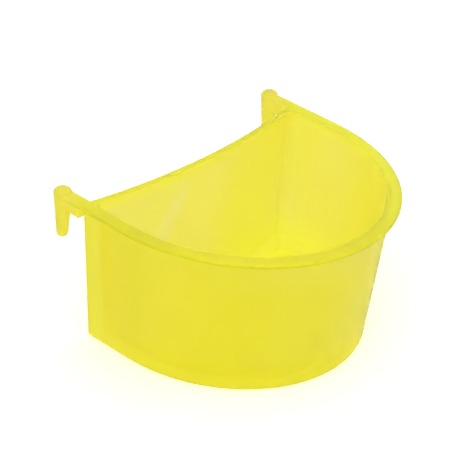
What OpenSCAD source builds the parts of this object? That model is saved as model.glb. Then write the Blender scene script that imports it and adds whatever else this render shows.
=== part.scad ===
// Bird cage feed cup: a moulded half-round tub with a flat-lipped rim. Both side lips run on
// past the back wall as arms, and each arm ends in a round pin that drops behind a cage wire.
// Millimetres. Z up from the base, the round front faces -Y, the pins are at +Y.

/* [Cup] */
// Width across the lip
rim_w = 85; // [75:1:100]
// Depth of the rounded front, from the end of the straight sides to the front of the lip
front_d = 47.2; // [42:0.1:56]
// Length of the straight sides, from their back edges to the rounded front
side_len = 16.8; // [12:0.1:26]
// Height from the base to the top of the lip
cup_h = 44; // [34:1:56]
// Thickness of the side and front walls
wall_t = 1.4; // [1.2:0.1:2]
// Thickness of the floor
floor_t = 1.6; // [1.2:0.1:2.4]
// Thickness of the back wall
back_t = 1.8; // [1.4:0.1:2.4]

/* [Form] */
// Lean of the side walls, degrees
side_lean = 3.6; // [2:0.1:5]
// Lean of the front wall at its middle, degrees
front_lean = 6.2; // [5:0.1:8]
// Lean of the back wall, degrees
back_lean = 0.5; // [0.2:0.1:1.5]
// How far the back wall bows into the cup at its middle
back_bow = 4.2; // [3:0.1:6]
// How far the side walls' back edges stand behind the back wall
edge_run = 0.8; // [0.4:0.1:1.4]
// Rounding of the base's outer edge
base_r = 1.4; // [0.8:0.1:1.6]
// Rounding where the walls meet the floor inside
floor_r = 4; // [3:0.5:5]
// Rounding of the two back corners inside
corner_in_r = 2.5; // [2:0.1:3]
// Rounding of the side walls' back edges
corner_out_r = 0.7; // [0.3:0.1:1]

/* [Lip] */
// Overhang of the lip beyond the wall
lip_over = 2.2; // [1.6:0.1:2.8]
// Thickness of the lip
lip_t = 1.2; // [1.2:0.1:2.4]
// Rounding of the lip's outer edges
lip_r = 0.5; // [0.3:0.1:0.55]

/* [Hooks] */
// Distance from the side walls' back edges to the pins' axes
pin_back = 7.3; // [6.5:0.1:10]
// Diameter of a pin's head
head_d = 5; // [4.5:0.1:5.2]
// Height of the head above the lip
head_rise = 1.1; // [0.8:0.1:1.6]
// Rounding of the head's crown
crown_r = 1.5; // [1:0.1:2]
// Diameter of the pin where its taper ends
tip_d = 3.3; // [2.6:0.1:3.4]
// Depth of a pin's end below the top of the lip
pin_drop = 13.8; // [11:0.1:20]
// Width of an arm
arm_w = 3.9; // [3.7:0.1:4.2]
// Height of an arm
arm_h = 4; // [3.4:0.1:5]
// Rounding where a pin meets the underside of its arm
root_r = 0.8; // [0.4:0.1:1]

/* [Hidden] */

// arcs end this many degrees short of tangent, so that each one is cut cleanly
blend = 8;
pad = 1;
// how much slimmer a pin is than its head, and how far below the crown
neck_in = 0.15;
neck_h = 1.6;
web_in = 0.3;

wall_x = rim_w / 2 - lip_over;
stretch = front_d / (rim_w / 2);
side_slope = tan(side_lean);
shear = tan(front_lean) - stretch * side_slope;
back_slope = tan(back_lean);
back_r = (wall_x * wall_x + back_bow * back_bow) / (2 * back_bow);
back_y = side_len - edge_run - back_bow + back_r;
pin_x = (rim_w - arm_w) / 2;
pin_y = side_len + pin_back;
centre_y = (front_d - pin_y - head_d / 2) / 2;
end_z = cup_h - pin_drop + tip_d / 2;
top_z = cup_h + head_rise;
neck_z = top_z - crown_r - neck_h;

// corner p of a flat shape, whose two sides face n1 and n2: what rounding it by r takes off
module edge_cut(p, n1, n2, r) {
    c = p - (n1 + n2) * r * cos(blend) / (1 + n1 * n2);
    difference() {
        polygon([c, c + 2 * r * n1, c + 2 * r * (n1 + n2), c + 2 * r * n2]);
        translate(c) circle(r, $fn = 48);
    }
}

// half section of the tub's inside or outside: a leaning wall, rounded into the bottom at z_bottom
module tub_section(x_top, z_bottom, z_low, r) {
    x_low = x_top - (cup_h - z_low) * side_slope;
    x_bottom = x_top - (cup_h - z_bottom) * side_slope;
    difference() {
        polygon([[0, z_low], [x_low, z_low], [x_top + pad * side_slope, cup_h + pad], [0, cup_h + pad]]);
        edge_cut([x_bottom, z_bottom], [cos(side_lean), -sin(side_lean)], [0, -1], r);
    }
}

module outer_section() {
    lip_x = rim_w / 2;
    tub_section(wall_x, 0, -pad, base_r);
    difference() {
        translate([wall_x - wall_t / 2, cup_h - lip_t]) square([lip_over + wall_t / 2, lip_t + pad]);
        edge_cut([lip_x, cup_h], [1, 0], [0, 1], lip_r);
        edge_cut([lip_x, cup_h - lip_t], [1, 0], [0, -1], lip_r);
        translate([lip_x - lip_r, cup_h]) square(2 * pad);
    }
}

module inner_section() tub_section(wall_x - wall_t, floor_t, floor_t, floor_r);

// a section carried round the front and back along both sides, then drawn out into an oval
// front that leans more than the sides
module carried(length) {
    run = length / stretch;
    multmatrix([
        [1, 0, 0, 0],
        [0, stretch, -shear, shear * cup_h],
        [0, 0, 1, 0],
        [0, 0, 0, 1]
    ]) {
        rotate_extrude(angle = 180, start = 180, $fn = 144) children();
        translate([0, run, 0]) rotate([90, 0, 0]) linear_extrude(run) {
            children();
            mirror([1, 0]) children();
        }
    }
}

// everything behind a bowed back face: radius r at the lip, its foot rounded by edge_r
module behind(r, z_foot, edge_r) {
    foot = r + (cup_h - z_foot) * back_slope;
    low = r + (cup_h + pad) * back_slope;
    translate([0, back_y, 0]) rotate_extrude(angle = 40, start = 250, $fn = 360) {
        polygon([[r - 40, -pad], [low, -pad], [r - pad * back_slope, cup_h + pad], [r - 40, cup_h + pad]]);
        edge_cut([foot, z_foot], [-cos(back_lean), -sin(back_lean)], [0, -1], edge_r);
    }
}

// where a side wall x_top out meets a back face of radius r, at height z
function corner(x_top, r, z) =
    let (x = x_top - (cup_h - z) * side_slope, rz = r + (cup_h - z) * back_slope)
    [x, back_y - sqrt(rz * rz - x * x), z];

// rounding of both upright edges from low to high, where a side wall meets a face turned to n
module upright_cut(low, high, n, edge_r) {
    run = high - low;
    for (side = [0, 1]) mirror([side, 0, 0])
        translate(low) rotate([-atan2(run[1], norm([run[0], run[2]])), atan2(run[0], run[2]), 0])
            translate([0, 0, -2 * pad]) linear_extrude(norm(run) + 4 * pad)
                edge_cut([0, 0], [1, 0], n, edge_r);
}

// both side walls as they are kept behind the back wall, up to their back edges
module side_edges() {
    inner_x = wall_x - wall_t;
    difference() {
        for (side = [0, 1]) mirror([side, 0, 0])
            translate([0, side_len, 0]) rotate([90, 0, 0]) linear_extrude(side_len) polygon([
                [inner_x - (cup_h + pad) * side_slope, -pad], [rim_w, -pad],
                [rim_w, cup_h + pad], [inner_x + pad * side_slope, cup_h + pad]
            ]);
        upright_cut([wall_x - cup_h * side_slope, side_len, 0], [wall_x, side_len, cup_h], [0, 1], corner_out_r);
        translate([-rim_w, side_len, 0]) rotate([90, 0, 90])
            linear_extrude(2 * rim_w) edge_cut([0, 0], [1, 0], [0, -1], base_r);
    }
}

module outside() {
    difference() {
        intersection() {
            carried(pin_y) outer_section();
            translate([-rim_w, -rim_w, 0]) cube([2 * rim_w, 2 * rim_w, cup_h]);
        }
        difference() {
            behind(back_r, 0, base_r);
            side_edges();
            for (side = [0, 1]) mirror([side, 0, 0])
                translate([pin_x - arm_w / 2, 0, cup_h - arm_h]) cube([2 * arm_w, rim_w, 2 * arm_h]);
        }
    }
}

module inside() {
    low = corner(wall_x - wall_t, back_r + back_t, 0);
    difference() {
        carried(side_len) inner_section();
        behind(back_r + back_t, floor_t, floor_r);
        upright_cut(low, corner(wall_x - wall_t, back_r + back_t, cup_h),
            [-low[0], back_y - low[1]] / norm([low[0], back_y - low[1]]), corner_in_r);
    }
}

// the deeper part of an arm, from the back wall to the pin
module web() {
    translate([pin_x - arm_w / 2, side_len - 0.6, cup_h - arm_h])
        cube([arm_w - web_in, pin_back + 0.6, arm_h - lip_t / 2]);
}

// fillet round the front of a pin, as far as the arm above it reaches
module root() {
    c = root_r * cos(blend);
    rise = (cup_h - arm_h - c - end_z) / (neck_z - end_z);
    r = tip_d / 2 + (head_d / 2 - neck_in - tip_d / 2) * rise;
    translate([pin_x, pin_y, cup_h - arm_h]) intersection() {
        rotate_extrude($fn = 40) difference() {
            translate([0, -c]) square([r + c, c + lip_t / 2]);
            translate([r + c, -c]) circle(root_r, $fn = 32);
        }
        translate([-arm_w / 2, -head_d, -head_d]) cube([arm_w - web_in, head_d, 2 * head_d]);
    }
}

// tapered pin with a rounded end and a proud head whose crown stands above the lip
module pin() {
    translate([pin_x, pin_y, 0]) {
        translate([0, 0, end_z]) sphere(d = tip_d, $fn = 40);
        rotate_extrude($fn = 40) difference() {
            polygon([
                [0, end_z], [tip_d / 2, end_z], [head_d / 2 - neck_in, neck_z],
                [head_d / 2, top_z - crown_r], [head_d / 2, top_z], [0, top_z]
            ]);
            edge_cut([head_d / 2, top_z], [1, 0], [0, 1], crown_r);
        }
    }
}

module feed_cup() {
    color([0.93, 0.88, 0.22]) translate([0, centre_y, 0]) {
        difference() {
            outside();
            inside();
        }
        for (side = [0, 1]) mirror([side, 0, 0]) {
            web();
            root();
            pin();
        }
    }
}

feed_cup();
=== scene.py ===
import math

import bpy
from mathutils import Matrix, Vector

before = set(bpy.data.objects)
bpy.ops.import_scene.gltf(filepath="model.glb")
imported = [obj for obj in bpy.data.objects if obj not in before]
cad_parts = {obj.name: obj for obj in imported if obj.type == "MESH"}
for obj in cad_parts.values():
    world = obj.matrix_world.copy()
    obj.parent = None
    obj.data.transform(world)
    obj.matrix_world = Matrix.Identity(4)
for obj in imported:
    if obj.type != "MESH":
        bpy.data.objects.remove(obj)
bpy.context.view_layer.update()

MM = 0.001
# sizes of the solid that the camera and the tones go by
CUP_H = 44.0 * MM
CENTRE_Y = 10.3 * MM
HALF_WIDTH, FRONT_DEPTH = 42.5 * MM, 47.2 * MM

# ---------------------------------------------------------------- camera
AZIMUTH, ELEVATION, ROLL = (math.radians(angle) for angle in (-48.421, 31.989, 3.493))
DISTANCE = 559.79 * MM
AIM_Z = CUP_H - 20 * MM
SIDE, RISE = 1.697 * MM, -3.137 * MM
FOCAL_PX, FRAME_PX, SENSOR = 2036.86, 450.0, 36.0
NEAR, FAR = 0.01, 20.0

back = Vector((
    math.sin(AZIMUTH) * math.cos(ELEVATION),
    -math.cos(AZIMUTH) * math.cos(ELEVATION),
    math.sin(ELEVATION),
))
right = Vector((math.cos(AZIMUTH), math.sin(AZIMUTH), 0.0))
up = back.cross(right)
place = Vector((0.0, CENTRE_Y, AIM_Z)) + back * DISTANCE - right * SIDE - up * RISE
cam_x = right * math.cos(ROLL) + up * math.sin(ROLL)
cam_y = up * math.cos(ROLL) - right * math.sin(ROLL)

cam_data = bpy.data.cameras.new("camera")
cam_data.sensor_width = SENSOR
cam_data.lens = FOCAL_PX * SENSOR / FRAME_PX
cam_data.clip_start, cam_data.clip_end = NEAR, FAR
cam = bpy.data.objects.new("camera", cam_data)
cam.matrix_world = Matrix((
    (cam_x.x, cam_y.x, back.x, place.x),
    (cam_x.y, cam_y.y, back.y, place.y),
    (cam_x.z, cam_y.z, back.z, place.z),
    (0, 0, 0, 1),
))
bpy.context.scene.collection.objects.link(cam)
bpy.context.scene.camera = cam


# ---------------------------------------------------------------- node helpers
def link(a, b):
    return a.id_data.links.new(a, b)


def node(tree, kind, **settings):
    # each setting is a property of the node, or else one of its inputs
    n = tree.nodes.new(kind)
    for name, value in settings.items():
        if hasattr(n, name):
            setattr(n, name, value)
        else:
            n.inputs[name.replace("_", " ")].default_value = value
    return n


def maths(tree, operation, *values):
    # each value is a number or a socket
    n = node(tree, "ShaderNodeMath", operation=operation)
    for value, socket in zip(values, n.inputs):
        if isinstance(value, (int, float)):
            socket.default_value = value
        else:
            link(value, socket)
    return n.outputs[0]


def vectors(tree, operation, *sources):
    n = node(tree, "ShaderNodeVectorMath", operation=operation)
    for source, socket in zip(sources, n.inputs):
        link(source, socket)
    return n


def mixed(tree, factor, first, second):
    # the first shader at 0, the second at 1
    n = node(tree, "ShaderNodeMixShader")
    for source, socket in zip((factor, first, second), n.inputs):
        link(source, socket)
    return n.outputs[0]


# ---------------------------------------------------------------- plastic
mat = bpy.data.materials.new("yellow_plastic")
mat.use_nodes = True
nt = mat.node_tree
bsdf = nt.nodes["Principled BSDF"]
bsdf.inputs["Transmission Weight"].default_value = 1.0
bsdf.inputs["IOR"].default_value = 1.45
bsdf.inputs["Coat Weight"].default_value = 0.2
bsdf.inputs["Coat Roughness"].default_value = 0.16
bsdf.inputs["Coat IOR"].default_value = 1.5

place_on = node(nt, "ShaderNodeTexCoord").outputs["Object"]
split = node(nt, "ShaderNodeSeparateXYZ")
link(place_on, split.inputs[0])
at = split.outputs
normals = node(nt, "ShaderNodeNewGeometry").outputs


def flat(source):
    # a vector without its height
    n = vectors(nt, "MULTIPLY", source)
    n.inputs[1].default_value = (1, 1, 0)
    return n.outputs[0]


def ramp(source, low, high):
    # 0 at low, 1 at high, smooth between; low may be the larger
    n = node(nt, "ShaderNodeMapRange", interpolation_type="SMOOTHSTEP")
    n.inputs["From Min"].default_value, n.inputs["From Max"].default_value = low, high
    link(source, n.inputs["Value"])
    return n.outputs[0]


def zone(axis, low, high):
    # a ramp along one axis, in millimetres
    return ramp(at[axis], low * MM, high * MM)


def slanting(slope, low, high):
    # a ramp in millimetres across the back wall, along lines that lean sideways as they rise
    return ramp(maths(nt, "MULTIPLY_ADD", at["Z"], -slope, at["X"]), low * MM, high * MM)


def blend(factor, first, second):
    # each of the two is a colour or a socket
    n = node(nt, "ShaderNodeMix", data_type="RGBA")
    link(factor, n.inputs["Factor"])
    for value, socket in ((first, n.inputs[6]), (second, n.inputs[7])):
        if isinstance(value, tuple):
            socket.default_value = (*value, 1)
        else:
            link(value, socket)
    return n.outputs[2]


def lay(over, tone, mask, *more):
    # one tone over another, as far as all the masks let it show
    for other in more:
        mask = maths(nt, "MULTIPLY", mask, other)
    return blend(mask, tone, over)


# flat faces keep their own normal right up to the rounding beside them
turned = node(nt, "ShaderNodeSeparateXYZ")
link(normals["True Normal"], turned.inputs[0])
level = ramp(maths(nt, "ABSOLUTE", turned.outputs["Z"]), 0.9990, 0.9998)
straight = ramp(maths(nt, "ABSOLUTE", turned.outputs["Y"]), 0.0010, 0.0003)
chosen = node(nt, "ShaderNodeMix", data_type="VECTOR")
link(maths(nt, "MAXIMUM", level, straight), chosen.inputs["Factor"])
link(normals["Normal"], chosen.inputs[4])
link(normals["True Normal"], chosen.inputs[5])
steady = chosen.outputs[1]

# inside and outside of the tub, by whether a face looks towards its middle
outward = vectors(nt, "NORMALIZE", flat(place_on)).outputs[0]
facing = vectors(nt, "DOT_PRODUCT", flat(steady), outward).outputs["Value"]
bottom = maths(nt, "MULTIPLY", ramp(turned.outputs["Z"], 0.5, 0.9), zone("Z", 30, 20))
inside = maths(nt, "MAXIMUM", ramp(facing, 0.0, -0.5), bottom)
outside = ramp(facing, -0.5, 0.0)

# faint cloudiness of the pigment, and the flow of the melt up the walls
cloud = node(nt, "ShaderNodeTexNoise", Scale=38.0, Detail=3.0, Roughness=0.55)
link(place_on, cloud.inputs["Vector"])
flow_at = node(nt, "ShaderNodeMapping")
flow_at.inputs["Scale"].default_value = (70.0, 70.0, 8.0)
link(place_on, flow_at.inputs["Vector"])
flow = node(nt, "ShaderNodeTexNoise", Scale=1.0, Detail=2.0, Roughness=0.5, Distortion=0.3)
link(flow_at.outputs[0], flow.inputs["Vector"])
noises = node(nt, "ShaderNodeMix", data_type="FLOAT")
noises.inputs["Factor"].default_value = 0.4
link(cloud.outputs["Fac"], noises.inputs["A"])
link(flow.outputs["Fac"], noises.inputs["B"])
both = noises.outputs[0]
drift = ramp(both, 0.32, 0.68)
up_flow = ramp(flow.outputs["Fac"], 0.34, 0.66)

# tones by place: the walls' own colour, and painted light and painted shade where marked;
# noise varies a tone towards the one called RICH beside it
WALL, WALL_RICH = (0.948, 0.93, 0.12), (0.972, 0.955, 0.20)
# painted light: the outer wall paler from the left towards the front and right
WALL_PAINTED_LIGHT, WALL_PAINTED_LIGHT_RICH = (0.948, 0.93, 0.24), (0.972, 0.955, 0.34)
# painted light: the upper wall paler towards the lip
UPPER_WALL_PAINTED_LIGHT = (0.955, 0.935, 0.42)
# painted light: the inside paler, as lit through the walls
INNER_PAINTED_LIGHT, INNER_PAINTED_LIGHT_RICH = (0.985, 0.92, 0.13), (0.995, 0.93, 0.23)
# painted reflection: a richer streak leaning across the back wall
BACK_PAINTED_REFLECTION = (0.992, 0.94, 0.13)
# painted light: the inside brighter near the floor
INNER_BOTTOM_PAINTED_LIGHT = (1.0, 0.97, 0.11)
# painted shade: the inside of the front right wall richer
INNER_RIGHT_PAINTED_SHADE = (0.985, 0.92, 0.11)
# painted shade: the back left inside darker
BACK_LEFT_PAINTED_SHADE = (0.975, 0.915, 0.20)
# painted highlight: a pale band leaning across the back wall
BACK_PAINTED_HIGHLIGHT = (0.97, 0.912, 0.33)
# painted light: the inside brighter just under the rim
INNER_TOP_PAINTED_LIGHT = (1.0, 0.945, 0.12)
SIDE_EDGE = (0.965, 0.925, 0.05)
HOOKS = (0.95, 0.875, 0.09)
# painted shade: the outside richer towards the base
FOOT_PAINTED_SHADE = (0.975, 0.94, 0.05)
# the lip's thicker plastic, with painted shade
LIP_THICK_AND_PAINTED_SHADE = (0.91, 0.915, 0.006)
# painted light: the lip brighter at the front
LIP_FRONT_PAINTED_LIGHT = (1.0, 1.0, 0.008)
# painted shade at the lip's right end, painted light on its inner half over the wall
LIP_RIGHT_PAINTED_SHADE, LIP_BY_WALL_PAINTED_LIGHT = (0.87, 0.88, 0.04), (1.0, 1.0, 0.02)
# painted shade: a darker band along the lip's outer edge
LIP_EDGE_PAINTED_SHADE = (0.80, 0.80, 0.07)

# outside of the walls, with painted light towards the front and right, and more painted
# light towards the lip
outer_with_painted_light = blend(drift, WALL, WALL_RICH)
outer_with_painted_light = lay(blend(drift, WALL_PAINTED_LIGHT, WALL_PAINTED_LIGHT_RICH), outer_with_painted_light, zone("X", -38, -10))
outer_with_painted_light = lay(UPPER_WALL_PAINTED_LIGHT, outer_with_painted_light, zone("Z", 26, 41), zone("X", -40, -20))

# inside, paler than the outside as painted light through the walls, with a painted
# reflection as a richer streak and a painted highlight as a pale mark that both lean across
# the back wall, painted light near the bottom and the top, and painted shade on the front
# right and at the back left
back_wall = zone("Y", 8, 18)
inner_with_painted_light_and_shade = blend(up_flow, INNER_PAINTED_LIGHT, INNER_PAINTED_LIGHT_RICH)
inner_with_painted_light_and_shade = lay(BACK_PAINTED_REFLECTION, inner_with_painted_light_and_shade, slanting(0.28, -6, 18), slanting(0.28, 32, 22), back_wall)
inner_with_painted_light_and_shade = lay(INNER_BOTTOM_PAINTED_LIGHT, inner_with_painted_light_and_shade, zone("Z", 15, 3))
inner_with_painted_light_and_shade = lay(INNER_RIGHT_PAINTED_SHADE, inner_with_painted_light_and_shade, zone("X", 18, 30), zone("Y", 12, -10))
inner_with_painted_light_and_shade = lay(BACK_LEFT_PAINTED_SHADE, inner_with_painted_light_and_shade, zone("X", 2, -25), zone("Y", 12, 18))
inner_with_painted_light_and_shade = lay(
    BACK_PAINTED_HIGHLIGHT, inner_with_painted_light_and_shade, slanting(0.53, -33.5, -29), slanting(0.53, -24, -29),
    back_wall, zone("Z", 41, 34), zone("Z", 20, 27),
)
inner_with_painted_light_and_shade = lay(INNER_TOP_PAINTED_LIGHT, inner_with_painted_light_and_shade, zone("Z", 40, 42.5))

# both together, then the side walls' back edges, the arms with their pins, and painted shade
# at the foot
tone = blend(inside, outer_with_painted_light, inner_with_painted_light_and_shade)
by_side = ramp(maths(nt, "ABSOLUTE", at["X"]), 33 * MM, 37 * MM)
tone = lay(SIDE_EDGE, tone, zone("Y", 10, 21.5), by_side, outside)
tone = lay(HOOKS, tone, zone("Y", 26.5, 28.5))
tone = lay(FOOT_PAINTED_SHADE, tone, zone("Z", 11, 3.5), outside, ramp(turned.outputs["Z"], 0.9, 0.5))

# the lip: its thicker plastic with painted shade, painted light at the front and over the
# wall on the right, painted shade at the right end and along the outer edge; the oval that
# it follows tells how far across it a point is, 1 at its outer edge
oval = node(nt, "ShaderNodeMapping")
oval.inputs["Scale"].default_value = (1 / HALF_WIDTH, 1 / FRONT_DEPTH, 0)
oval.inputs["Location"].default_value = (0, -CENTRE_Y / FRONT_DEPTH, 0)
link(place_on, oval.inputs["Vector"])
across = vectors(nt, "LENGTH", oval.outputs[0]).outputs["Value"]
lip_right_painted_light_and_shade = blend(ramp(across, 0.985, 0.940), LIP_RIGHT_PAINTED_SHADE, LIP_BY_WALL_PAINTED_LIGHT)
lip_painted_light_and_shade = lay(LIP_FRONT_PAINTED_LIGHT, LIP_THICK_AND_PAINTED_SHADE, zone("Y", 5, -20), zone("X", 10, -15))
lip_painted_light_and_shade = lay(lip_right_painted_light_and_shade, lip_painted_light_and_shade, zone("Y", 5, -15), zone("X", 2, 20))
lip_painted_light_and_shade = lay(LIP_EDGE_PAINTED_SHADE, lip_painted_light_and_shade, zone("Z", 43.8, 43.4), ramp(facing, 0.2, 0.7))
tone = lay(lip_painted_light_and_shade, tone, zone("Z", 42.4, 43), outside, zone("Y", 33, 27))
link(tone, bsdf.inputs["Base Color"])

polish = node(nt, "ShaderNodeMapRange")
polish.inputs["To Min"].default_value, polish.inputs["To Max"].default_value = 0.7, 0.88
link(both, polish.inputs["Value"])
link(polish.outputs[0], bsdf.inputs["Roughness"])

# slight waviness of the moulding, and the grain of its skin
wave = node(nt, "ShaderNodeBump", Strength=0.5, Distance=0.2 * MM)
link(both, wave.inputs["Height"])
link(steady, wave.inputs["Normal"])
grain = node(nt, "ShaderNodeTexNoise", Scale=1500.0, Detail=2.0)
link(place_on, grain.inputs["Vector"])
skin = node(nt, "ShaderNodeBump", Strength=0.15, Distance=0.02 * MM)
link(grain.outputs["Fac"], skin.inputs["Height"])
link(wave.outputs[0], skin.inputs["Normal"])
link(skin.outputs[0], bsdf.inputs["Normal"])
link(skin.outputs[0], bsdf.inputs["Coat Normal"])

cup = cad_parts["feed_cup"]
cup.data.materials.clear()
cup.data.materials.append(mat)

# ---------------------------------------------------------------- floor
# just below the base, so that the two flat faces don't coincide
FLOOR_Z, FLOOR_HALF = -0.1 * MM, 3.0
# strength of the light added where the floor is seen directly, and of its plain backdrop
LIFT, BACKDROP = 0.26, 0.95
# share of backdrop by reflection and through the plastic, near and far from the middle
SHARE_NEAR, SHARE_FAR = 0.55, 0.7
NEAR_MIDDLE, FAR_OFF = 30 * MM, 70 * MM

corners = [
    (x * FLOOR_HALF, y * FLOOR_HALF, FLOOR_Z)
    for x, y in ((-1, -1), (1, -1), (1, 1), (-1, 1))
]
ground = bpy.data.meshes.new("floor")
ground.from_pydata(corners, [], [(0, 1, 2, 3)])
floor = bpy.data.objects.new("floor", ground)
bpy.context.scene.collection.objects.link(floor)
floor_mat = bpy.data.materials.new("floor")
floor_mat.use_nodes = True
ft = floor_mat.node_tree
paper = ft.nodes["Principled BSDF"]
paper.inputs["Base Color"].default_value = (0.95, 0.95, 0.95, 1)
paper.inputs["Roughness"].default_value = 0.9
paper.inputs["Specular IOR Level"].default_value = 0.0

rays = node(ft, "ShaderNodeLightPath").outputs
lift = node(ft, "ShaderNodeEmission")
link(maths(ft, "MULTIPLY", rays["Is Camera Ray"], LIFT), lift.inputs["Strength"])
lit = node(ft, "ShaderNodeAddShader")
link(paper.outputs[0], lit.inputs[0])
link(lift.outputs[0], lit.inputs[1])

white = node(ft, "ShaderNodeEmission", Strength=BACKDROP)
away = vectors(ft, "LENGTH", node(ft, "ShaderNodeTexCoord").outputs["Object"])
share = node(
    ft, "ShaderNodeMapRange", interpolation_type="SMOOTHSTEP",
    From_Min=NEAR_MIDDLE, From_Max=FAR_OFF, To_Min=SHARE_NEAR, To_Max=SHARE_FAR,
)
link(away.outputs["Value"], share.inputs["Value"])
indirect = maths(ft, "MAXIMUM", rays["Is Glossy Ray"], rays["Is Transmission Ray"])
backdrop = maths(ft, "MULTIPLY", indirect, share.outputs[0])
top = mixed(ft, backdrop, lit.outputs[0], white.outputs[0])

# from underneath the floor is clear, so that the base can be seen
clear = node(ft, "ShaderNodeBsdfTransparent")
under = node(ft, "ShaderNodeNewGeometry").outputs["Backfacing"]
surface = mixed(ft, under, top, clear.outputs[0])
link(surface, ft.nodes["Material Output"].inputs["Surface"])
floor.data.materials.append(floor_mat)

# ---------------------------------------------------------------- light
WORLD_LIGHT = 0.8
world = bpy.data.worlds.new("world")
bpy.context.scene.world = world
world.use_nodes = True
wt = world.node_tree
background = wt.nodes["Background"]
background.inputs["Color"].default_value = (1, 1, 1, 1)
# plain white where it is seen directly, by reflection or through the plastic
world_rays = node(wt, "ShaderNodeLightPath").outputs
seen = maths(wt, "MAXIMUM", world_rays["Is Camera Ray"], world_rays["Is Glossy Ray"])
seen = maths(wt, "MAXIMUM", seen, world_rays["Is Transmission Ray"])
strength = maths(wt, "MULTIPLY_ADD", seen, 1.0 - WORLD_LIGHT, WORLD_LIGHT)
link(strength, background.inputs["Strength"])


def softbox(name, where, size, watts):
    data = bpy.data.lights.new(name, "AREA")
    data.shape = "DISK"
    data.size, data.energy = size, watts
    lamp = bpy.data.objects.new(name, data)
    lamp.location = Vector(where)
    towards_cup = Vector((0, 0, 20 * MM)) - lamp.location
    lamp.rotation_euler = towards_cup.to_track_quat("-Z", "Y").to_euler()
    bpy.context.scene.collection.objects.link(lamp)


softbox("key", (-0.9, -0.5, 1.2), 0.9, 4.0)
softbox("fill", (0.9, -0.9, 0.8), 0.9, 2.0)

bpy.context.scene.view_settings.view_transform = "Standard"
